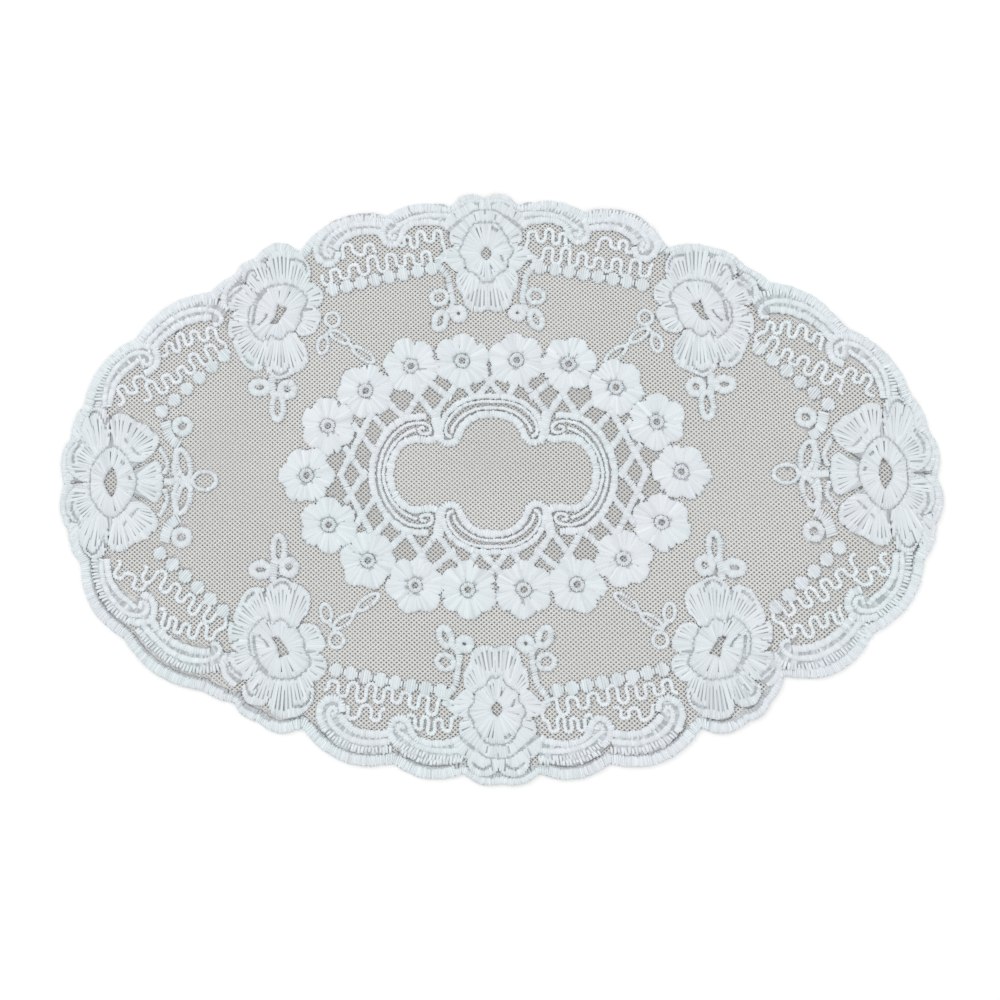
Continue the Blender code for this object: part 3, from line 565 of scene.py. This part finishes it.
# roses; each petal is a shape with the root its stitches spread from, and the grooves left open in it
sideRose = {
    "petals": (
        (1.7, ((0, 93.8), (2, 93.4), (4.4, 93.1), (7, 91.3), (8.8, 91), (9.9, 92.8), (9.6, 95.4), (8, 97.6), (5, 98.4),
               (2, 97.8), (0.4, 96.2)), (3, 84), (((2.6, 94.9), (4, 96), (5.5, 96.1), (7, 95.4), (8.2, 94.3)),)),
        (1.7, ((0.6, 92.4), (3.5, 92), (6, 90.4), (8, 88.6), (10.5, 86.6), (12.3, 84.6), (12.4, 82), (11, 80.4),
               (9.6, 80.6), (8.6, 82.8), (7.2, 85.2), (5.4, 87.6), (3, 89), (0.6, 89.4)), (1, 79), ()),
        (1.6, ((8.3, 91), (11.4, 88.4), (13.6, 86.4), (14.2, 88.2), (12.6, 91.4), (10.4, 92.6)), (7, 84), ()),
        (1.6, ((10, 79.4), (12.2, 79.1), (14.6, 78.2), (16, 76.6), (16.2, 75.4), (14.2, 74.6), (12.6, 72.8),
               (10.6, 70.9), (9, 71.6), (8.7, 73.6), (10, 76)), (6, 75), ()),
        (1.6, ((3.4, 67.9), (5, 68.8), (7, 69.6), (8.8, 70.7), (10.2, 69.6), (10.4, 67), (9.9, 64.2), (8.3, 62.7),
               (6.2, 62.6), (4.4, 63.6), (3.4, 65.6)), (3, 75), ()),
        (1.7, ((0.1, 65.6), (2.2, 65.6), (3, 66.8), (4.6, 67.6), (6.8, 66.4), (8.4, 64), (8.2, 60.8), (7.2, 58),
               (5, 56.7), (2.4, 56.4), (0.8, 57.2), (0.1, 58)), (0.5, 80), ())),
    "cup": (2.05, ((0, 66.9), (1.9, 67.1), (3, 68.8), (4.9, 70.4), (6.6, 71.1), (7.2, 72.7), (7.4, 74.6), (8.6, 76.3),
                   (9.2, 78), (8.2, 80), (7.4, 82.4), (6, 84.8), (4.4, 87), (2.4, 88), (0, 88.2)), (0, 77),
            (((1.5, 72.8), (1.6, 70.4)), ((5.1, 76), (5.7, 74.2)), ((2.4, 86.2), (4.2, 85.2)))),
    "heart": ((0, 79.4), (1.8, 77), (0, 74.6), (-1.8, 77)),
    "slits": ((0.25, 0), (0.2, 1), (0.3, 0), (0.4, 1), (0.6, 1), (0.85, 1))}
endRose = {
    "petals": (
        (1.6, ((-12.6, -0.2), (-12.6, 4.3), (-13.6, 6.2), (-15.8, 6.8), (-17.2, 5), (-17.6, 2.5), (-17.5, -0.2)),
         (-6, 0), ()),
        (1.7, ((-11, 7.5), (-13.2, 9), (-15, 10.9), (-16, 12.8), (-16.3, 14.9), (-15.2, 17), (-12.8, 19.2),
               (-9.8, 20.3), (-7, 21.9), (-5, 23.3), (-2.6, 23.8), (-0.3, 22.8), (-0.1, 20), (-0.5, 16.5), (-2, 14.3),
               (-4.2, 12.4), (-6.6, 9.6), (-8.4, 7.4)), (-2.6, 8),
         (((-10, 9), (-8.5, 10.3), (-7.2, 11.8)), ((-5.6, 13.6), (-4.6, 14.9)), ((-14.6, 17.5), (-13.5, 19.2)))),
        (1.7, ((1.2, 15), (1.2, 20), (1.8, 24), (3.6, 26), (6, 26), (8.2, 24), (10, 21), (10.6, 17.5), (10, 14.8),
               (7, 13), (3.5, 13)), (3, 5),
         (((1.9, 18.3), (2.9, 21.3), (4.1, 23.6), (5.6, 24.7), (7, 24.1), (8, 22.1), (7, 19.8)),)),
        (1.65, ((11.4, 15.2), (11.2, 18), (10.8, 21.5), (9.4, 24.5), (10.3, 26), (12.4, 22.5), (13.6, 17.5),
                (13.6, 14.4)), (6, 10), ()),
        (1.75, ((8.2, 0.4), (10.5, 1), (13, 2.4), (14.8, 4.4), (15.4, 7), (15, 9.8), (13.6, 12.4), (11.4, 13.8),
                (8, 13), (5, 12), (4.8, 9.6), (7, 6.4), (8.2, 3)), (1, 4),
         (((13, 6.3), (13.3, 9.3), (12.3, 11.6), (11, 13.3)),)),
        (1.65, ((14.2, 0.6), (16, 3), (17, 6.5), (16.7, 10.5), (15.2, 13.6), (14.4, 13.2), (15.8, 9.8), (16, 6.8),
                (15.2, 3.8), (13.4, 1.6)), (4, 4), ())),
    "cup": (2.05, ((-8.9, 0), (-8.5, 2.6), (-7.6, 4.8), (-6.6, 6.9), (-4.6, 9.5), (-2.4, 11.6), (0.2, 12.2),
                   (2.6, 10.8), (4.8, 8), (6.6, 5.2), (7, 2), (7, 0), (6.6, -5.2), (4.8, -8), (2.6, -10.8),
                   (0.2, -12.2), (-2.4, -11.6), (-4.6, -9.5), (-6.6, -6.9), (-7.6, -4.8), (-8.5, -2.6)), (0, 0),
            (((-4.6, 6.2), (-3.6, 7)), ((-7, 0.8), (-6.2, 2)))),
    "heart": ((-2.1, 0), (-0.6, 5.2), (2.4, 0.2), (-0.6, -5.2)),
    "slits": ((0.5, 1), (0.75, 1), (0.6, 1), (0.3, 0), (0.7, 1), (0.3, 0))}
cornerRose = {
    "petals": (
        (1.7, ((-9.3, -16.2), (-8.5, -18.8), (-6, -20.8), (-3.5, -21.8), (-1.5, -22.9), (0.6, -23.2), (2.6, -22.3),
               (4.4, -20.6), (5.1, -18), (5.1, -14), (4.4, -11.6), (2.6, -10.6), (1.2, -11.2), (-0.8, -11),
               (-2.4, -9.6), (-4.5, -9.4), (-6.8, -9.8), (-8.5, -12.4)), (0, -1),
         (((-3.3, -18.4), (-2.5, -20.6), (-0.6, -21.8), (1.2, -21.6), (2.6, -20.4)),)),
        (1.65, ((5.9, -18.5), (7.5, -20.3), (10, -20), (12.3, -18.4), (14, -15.8), (15.3, -13), (16.3, -10.5),
                (15.5, -8.4), (13.2, -7.2), (11.4, -8.6), (9.5, -10.2), (7.5, -11.9), (5.9, -12), (5.7, -14)), (3, -4),
         (((9, -18.5), (11, -17.3), (12.4, -15.4)),)),
        (1.65, ((12.5, -6.4), (15, -7.3), (17.3, -8.6), (18.2, -6), (17.9, -3), (16.8, -0.4), (14.9, 1), (12.4, 1.4),
                (12.4, -2)), (5, -3), (((14.3, -2.8), (16, -2.3), (17, -1.5)),)),
        (1.7, ((11.8, 2.8), (14, 2.1), (17, 1.6), (18.2, 3.5), (18, 6.5), (16.4, 8.6), (13.8, 10.2), (11.2, 9.8),
               (9.4, 8), (9, 6.2)), (6, 1), (((17.6, 4.3), (17.3, 6), (15, 8), (13.4, 9.4)),)),
        (1.55, ((18.9, 2), (20.6, 4), (20.4, 7), (19.2, 10), (17, 12), (15.6, 11.8), (18.4, 9), (19.3, 6)), (8, 2), ()),
        (1.7, ((5.5, 9.6), (8.5, 9.2), (11.2, 11), (13, 12.6), (13.2, 15), (12, 17.2), (10, 18.5), (6.5, 18.5),
               (4.7, 16.6), (4.4, 12)), (2, 2),
         (((12, 11.4), (11.8, 13.5), (10.6, 15.4), (9.3, 15.5), (8.3, 13.5), (8, 11.8)),)),
        (1.75, ((-9.2, 11.4), (-5, 10.8), (0, 11.2), (3.6, 11.6), (4, 16), (4, 20), (1.8, 22.4), (-2, 22.8), (-5.5, 22),
                (-8.5, 19.5), (-10.3, 16), (-10.2, 13)), (-1.5, -3),
         (((-9.3, 14.5), (-9, 17), (-7, 18.8), (-4.5, 19.2)),)),
        (1.6, ((-13, 2.4), (-10.9, 2), (-11, 4.6), (-10.2, 7.4), (-8.4, 9.2), (-9.6, 10.6), (-12, 10.3), (-14.5, 7.5),
               (-14.8, 4.4)), (-3, 3), ()),
        (1.6, ((-13.3, -4), (-12, -6.8), (-8.7, -8), (-6.2, -7.2), (-7.6, -5), (-9.1, -3.2), (-9.3, -0.4), (-10.5, 0.8),
               (-13.2, 1), (-14.4, -1.4)), (-3, -1), ())),
    "cup": (2.05, ((-6, -4.6), (-4.8, -6.6), (-2.5, -6.8), (-1, -9), (1.2, -9.1), (3.2, -7.8), (5, -9.4), (6.4, -9.9),
                   (8.3, -8), (10, -6.2), (10.8, -4.5), (10.8, -1), (10.2, 1.8), (8.6, 4.2), (6.5, 7.6), (4, 9.2),
                   (0, 10), (-4, 9.8), (-6.8, 8.2), (-9, 5.8), (-9.3, 4), (-8.1, 1.8), (-7.3, 0), (-7.2, -2.4)),
            (0.4, -0.4), (((9.4, -3.9), (9.2, -1.4), (8.8, 1.1), (8.2, 3.6), (7.2, 5.4), (6.2, 6.9), (5, 8)),
             ((7.4, -4.1), (5.6, -2.4), (4.6, -0.4)))),
    "heart": ((3.5, -3.5), (1.9, -0.9), (1.4, 1.6), (0.7, 3.4), (-0.3, 2.4), (-2.3, 1.9), (-2.1, 0.6), (-0.8, -0.9),
              (0.7, -3.5)),
    "slits": ((0.75, 1), (0.7, 1), (0.5, 1), (0.5, 1), (0.3, 0), (0.6, 1), (0.8, 1), (0.5, 1), (0.5, 1))}
roses = {"side": sideRose, "end": endRose, "corner": cornerRose}
rosePlaces = {   # where the roses' points count from, and how far off each rose is in the quadrants
    "side": ((0, 0), {(-1, -1): (-0.8, -1.2), (1, -1): (-0.8, -1.2)}),
    "end": (roseSpots[1], {(1, 1): (-0.3, -1.2), (-1, 1): (-0.3, -1.7),
                           (-1, -1): (-0.3, -1.7), (1, -1): (-0.3, -1.2)}),
    "corner": (roseSpots[2], {(1, 1): (-0.3, -1.7), (-1, 1): (0.1, -0.6),
                              (-1, -1): (0.4, -0.6), (1, -1): (-0.5, -0.8)})}
petalStitch = {"foot": 0.85, "width": 0.98, "fray": 0.15, "reach": 0.0, "sunk": 0.1, "sunkBy": 0.8, "pitch": 0.86,
               "reachBack": 46, "grow": 0.3, "under": 0.1}
cupStitch = {"gap": 0.35, "slits": 0.12}
# the underlay's low tone is painted shade in the slits and gaps of the roses
underlay = {"foot": 0.8, "top": 1.15, "width": 1.05, "fray": 0.1, "reach": -0.6, "sunk": 0.0, "tone": 0.06,
            "spread": 0.2, "pitch": 1.15}
patches = []
for group, rose in roses.items():
    cupTop, shape, root, grooves = rose["cup"]
    shapes = [petal for _, petal, _, _ in rose["petals"]] + [shape]
    under = fan(shapes, root, underlay["pitch"], hole=rose["heart"], filled=True)
    if group == "side":
        shape = shape + tuple((-x, y) for x, y in shape[-2:0:-1])
    parts = []
    for (top, petal, base, lines), (share, beside) in zip(rose["petals"], rose["slits"]):
        upTo = (shape, petalStitch["reachBack"] if beside else 0)
        found = fan([petal], base, petalStitch["pitch"], lines, slits=share, grow=petalStitch["grow"], upTo=upTo)
        parts.append((top, found))
    cup = fan([shape], root, petalStitch["pitch"], grooves, hole=rose["heart"], **cupStitch)
    place, drifts = rosePlaces[group]
    at = np.tile(place, 2)
    for quadrant in quadrants:   # a rose on an axis is shared by two quadrants and gets one cup
        drift = drifts.get(quadrant, still)
        whole = group == "corner" or (group == "side" and quadrant[0] > 0) or (group == "end" and quadrant[1] > 0)
        patches.append((toCloth(under + at, quadrant, drift), underlay))
        for top, lines in parts + ([(cupTop, cup)] if whole else []):
            patches.append((toCloth(lines + at, quadrant, drift), petalStitch | {"top": top - petalStitch["under"]}))
sew("roses", patches)

# leaves and stems that spring from the roses; each oval has its middle, half axes, half its opening and its turn
leaf = {"foot": 0.85, "top": 1.6, "width": 0.9, "fray": 0.2, "sunk": 0.08, "pitch": 0.85, "slant": 0.2}
leaves = {
    "side": ((16.6, 61.6, 3.5, 3.1, 1.7, -20), (10.1, 55.8, 3.1, 3.1, 0.8, 0), (16.4, 53.4, 2.9, 4.1, 1.0, 20)),
    "end": ((-32.4, 0.2, 4.6, 3.7, 2.6, 0), (-25.1, 6.0, 3.0, 5.9, 1.4, -15), (-24.7, 19.2, 3.6, 3.5, 1.5, 0)),
    "corner": ((7.2, -26.2, 4.0, 3.2, 1.0, 0), (-2.4, -27, 3.4, 3.5, 1.3, 0), (1, -33.2, 2.9, 5.4, 1.1, 0))}
stems = {
    "side": ((1.9, ((16.9, 75.6), (16.5, 73), (14.8, 71), (13.4, 69), (12.9, 66), (12.3, 63), (11.9, 60), (12.6, 57.6),
                    (14.2, 56))),),
    "end": ((2.0, ((-28, 0), (-24, -0.2), (-19, 0))), (1.6, ((-23, 1), (-21.8, 4.4), (-22.2, 8), (-22.6, 11))),
            (1.4, ((-18.6, 3), (-19.6, 6), (-18.4, 9.2), (-17, 11.6))),
            (3.4, ((-23.4, 12.6), (-20.8, 14.6), (-19.4, 17.6), (-18.8, 20.4)))),
    "corner": ((2.4, ((2.8, -22.6), (3, -25.4), (2.4, -28.6))), (1.2, ((-18, -5.2), (-17, -7), (-15.4, -8.5))),
               (1.2, ((-23.4, -10.6), (-24.5, -11.7), (-25.6, -12.9))))}
loops = {"rings": ((-18.2, -2.6, 3.0, 3.1, 0), (-14.8, -11.6, 2.4, 3.6, 10), (-20.6, -8.8, 4.4, 2.1, 33),
                   (-28.8, -15.2, 4.9, 2.2, 36)), "width": 1.2, "pitch": 0.8, "fewest": 14}
loopStitch = {"foot": 0.85, "top": 1.4, "width": 0.85, "fray": 0.08, "reach": 0.05, "sunk": 0.04}


def ring(x, y, rx, ry, width, turn):  # stitches across the band of an oval ring
    count = max(loops["fewest"], round(math.pi * (rx + ry) / loops["pitch"]))
    away = directions(np.linspace(0, 2 * math.pi, count, endpoint=False))
    cos, sin = math.cos(math.radians(turn)), math.sin(math.radians(turn))
    spin = np.array(((cos, sin), (-sin, cos)))
    outer, inner = away * (rx, ry) @ spin, away * (rx - width, ry - width) @ spin
    return np.hstack([inner + (x, y), outer + (x, y)])


patches = []
for group, (place, drifts) in rosePlaces.items():
    at = np.tile(place, 2)
    for quadrant in quadrants:
        drift = drifts.get(quadrant, still)
        for x, y, rx, ry, hole, turn in leaves[group]:
            if not (group == "end" and x < -32 and quadrant[1] < 0):   # the leaf on the long axis is made once
                found = ring(x, y, rx, ry, min(rx, ry) - hole, turn)
                patches.append((toCloth(found + at, quadrant, drift), leaf))
        for width, points in stems[group]:
            found = across(smooth(points, leaf["pitch"]), width, leaf["slant"])
            patches.append((toCloth(found + at, quadrant, drift), leaf))
        if group == "corner":
            for x, y, rx, ry, turn in loops["rings"]:
                patches.append((toCloth(ring(x, y, rx, ry, loops["width"], turn) + at, quadrant, drift), loopStitch))
sew("leaf_sprays", patches)

# the net: one open cell at every place the stitching leaves bare
net = {"halfWidth": 0.86, "halfHeight": 0.73, "strand": 0.34, "ridge": 0.85, "drop": 0.45, "edgeTone": -0.75,
       "ridgeTone": 2.0, "windowDim": 0.8, "borderDim": 0.18, "eyelets": (2.4, 1.2),
       "hearts": ((6, 0.7), (7, 0.7), (7, 0.7)), "fromEdge": 1.2, "edgeStep": 1.5, "borderEnds": ((0, 72), (130, 0)),
       "weld": 0.06}
cell = bmesh.new()
bmesh.ops.create_circle(cell, cap_ends=True, radius=1, segments=4)
bmesh.ops.scale(cell, vec=(net["halfWidth"] / 1000, net["halfHeight"] / 1000, 1), verts=cell.verts)
hole = list(cell.faces)
bmesh.ops.inset_individual(cell, faces=hole, thickness=net["strand"] / 1000, use_even_offset=True)
for v in hole[0].verts:
    v.co.z = -net["drop"] / 1000
bmesh.ops.delete(cell, geom=hole, context="FACES_ONLY")
for f in cell.faces:
    f.smooth = True
cellCopies = copier(bpy.data.objects.new("net_cell", meshFrom(cell, "net_cell")))

# a mask of what the stitches hide, its gaps closed by growing and shrinking it
mask = {"step": 0.35, "half": (152, 106), "points": 48, "grow": 1, "shrink": 3}
half = np.array(mask["half"])
covered = np.zeros((half * 2 / mask["step"]).astype(int) + 1, bool)
for lines in footprint:
    for t in np.linspace(0, 1, mask["points"]):
        spots = lines[:, :2] * (1 - t) + lines[:, 2:] * t
        at = np.round((spots + half) / mask["step"]).astype(int)
        covered[at[:, 0], at[:, 1]] = True


def grown(places, steps, value):  # spreads the True or the False places by some steps
    places = places == value
    for _ in range(steps):
        for axis in (0, 1):
            places = places | np.roll(places, 1, axis) | np.roll(places, -1, axis)
    return places == value


covered = grown(grown(covered, mask["grow"], True), mask["shrink"], False)
columns, rows = (half / (net["halfWidth"], net["halfHeight"])).astype(int)
i, j = np.meshgrid(np.arange(-columns, columns + 1), np.arange(-rows, rows + 1))
even = (i + j) % 2 == 0
spots = np.column_stack([i[even] * net["halfWidth"], j[even] * net["halfHeight"]])
spots = spots[(abs(spots) < half - 1).all(1)]
spots = spots[inside(outlineLine(net["fromEdge"], net["edgeStep"]), spots)]
at = np.round((spots + half) / mask["step"]).astype(int)
spots = spots[~covered[at[:, 0], at[:, 1]]]
quarter = abs(spots - (0, cloth["ringRise"]))   # the four quadrants folded into one
(_, sideHook), (_, endHook) = cartouche["bands"][1], cartouche["bands"][3]
field = inside(np.array([(0, 0), *endHook[:2:-1], *sideHook[2:]]), quarter)
windows = inside(np.array([(0, 0), (0, flowers["spots"][0][1]), *flowers["spots"]]), quarter) & ~field
dotLine = [row[k:k + 2] for row in dots["rows"] for k in (0, 2)]
atSide, atEnd = net["borderEnds"]
border = ~inside(np.array([(0, 0), atSide, *dotLine, atEnd]), quarter)
spots = spots + cloth["skew"] * spots[:, ::-1]
n = len(spots)
places = np.column_stack([spots, np.full(n, net["ridge"])]) / 1000
dim = windows * net["windowDim"] + border * net["borderDim"]   # the net between sewn parts lies in their shade
# openings of the flowers and the roses, with their radius and the painted shade of the net inside them
hollows = [(spot, net["eyelets"]) for spot in flowers["spots"]] + list(zip(roseSpots, net["hearts"]))
for quadrant in quadrants:
    for spot, (radius, share) in hollows:
        middle = toCloth(np.array([spot + spot], float), quadrant)[0, :2]
        dim[np.linalg.norm(spots - middle, axis=1) < radius] = share
netMesh = copiesAt("tulle_net", cellCopies, places, np.zeros((n, 3)), np.ones((n, 3)), -dim)
bm = bmesh.new()
bm.from_mesh(netMesh)
bmesh.ops.remove_doubles(bm, verts=bm.verts, dist=net["weld"] / 1000)
shade = bm.verts.layers.float["tone"]
for v in bm.verts:   # the holes' edges lie in shade
    v[shade] += net["ridgeTone"] if v.co.z > (net["ridge"] - net["drop"] / 2) / 1000 else net["edgeTone"]
    v.co.z += swell(v.co.x * 1000, v.co.y * 1000) / 1000
bm.to_mesh(netMesh)
bm.free()
pieceOf("tulle_net", netMesh, tulleThread)

for piece in sewn.values():
    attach(piece, "root")
    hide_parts("lace_doily")

# table top, light and camera
stage = {"size": 3.0, "Base Color": (0.93, 0.93, 0.93, 1), "Roughness": 0.9, "Specular IOR Level": 0.1, "sky": 0.92}
bm = bmesh.new()
bmesh.ops.create_grid(bm, x_segments=1, y_segments=1, size=stage["size"])
floor = added("table_top", meshFrom(bm, "table_top"))
floorPaint = bpy.data.materials.new("pale_table")
floorPaint.use_nodes = True
for socket in ("Base Color", "Roughness", "Specular IOR Level"):
    floorPaint.node_tree.nodes["Principled BSDF"].inputs[socket].default_value = stage[socket]
floor.data.materials.append(floorPaint)

lamps = (("key", (-0.9, 0.9, 1.1), 0.8, 5.5), ("fill", (1.1, -0.5, 1.2), 1.0, 3))   # name, place, size and watts
for name, place, size, power in lamps:
    lamp = bpy.data.lights.new(name, "AREA")
    lamp.shape, lamp.size, lamp.energy = "DISK", size, power
    holder = added(name, lamp)
    holder.location = place
    holder.rotation_euler = (-Vector(place)).to_track_quat("-Z", "Y").to_euler()
world = bpy.data.worlds.new("studio")
world.use_nodes = True
world.node_tree.nodes["Background"].inputs["Color"].default_value = (1, 1, 1, 1)
world.node_tree.nodes["Background"].inputs["Strength"].default_value = stage["sky"]
bpy.context.scene.world = world

shot = {"target": (0.002276, -0.0065, 0), "tilt": 9.071, "azimuth": 18.784, "roll": -0.857, "distance": 0.42,
        "lens": 45.02, "sensor": 36}
tilt, azimuth, roll = (math.radians(shot[k]) for k in ("tilt", "azimuth", "roll"))
back = Vector((math.sin(azimuth) * math.sin(tilt), -math.cos(azimuth) * math.sin(tilt), math.cos(tilt)))
right = Vector((-math.sin(roll), math.cos(roll), 0)).cross(back).normalized()
upright = back.cross(right)
camera = added("camera", bpy.data.cameras.new("camera"))
camera.data.lens, camera.data.sensor_width = shot["lens"], shot["sensor"]
camera.location = Vector(shot["target"]) + back * shot["distance"]
turned = camera.rotation_euler.to_matrix()
turned.col[0], turned.col[1], turned.col[2] = right, upright, back
camera.rotation_euler = turned.to_euler()
bpy.context.scene.camera = camera
bpy.context.scene.view_settings.view_transform = "Standard"
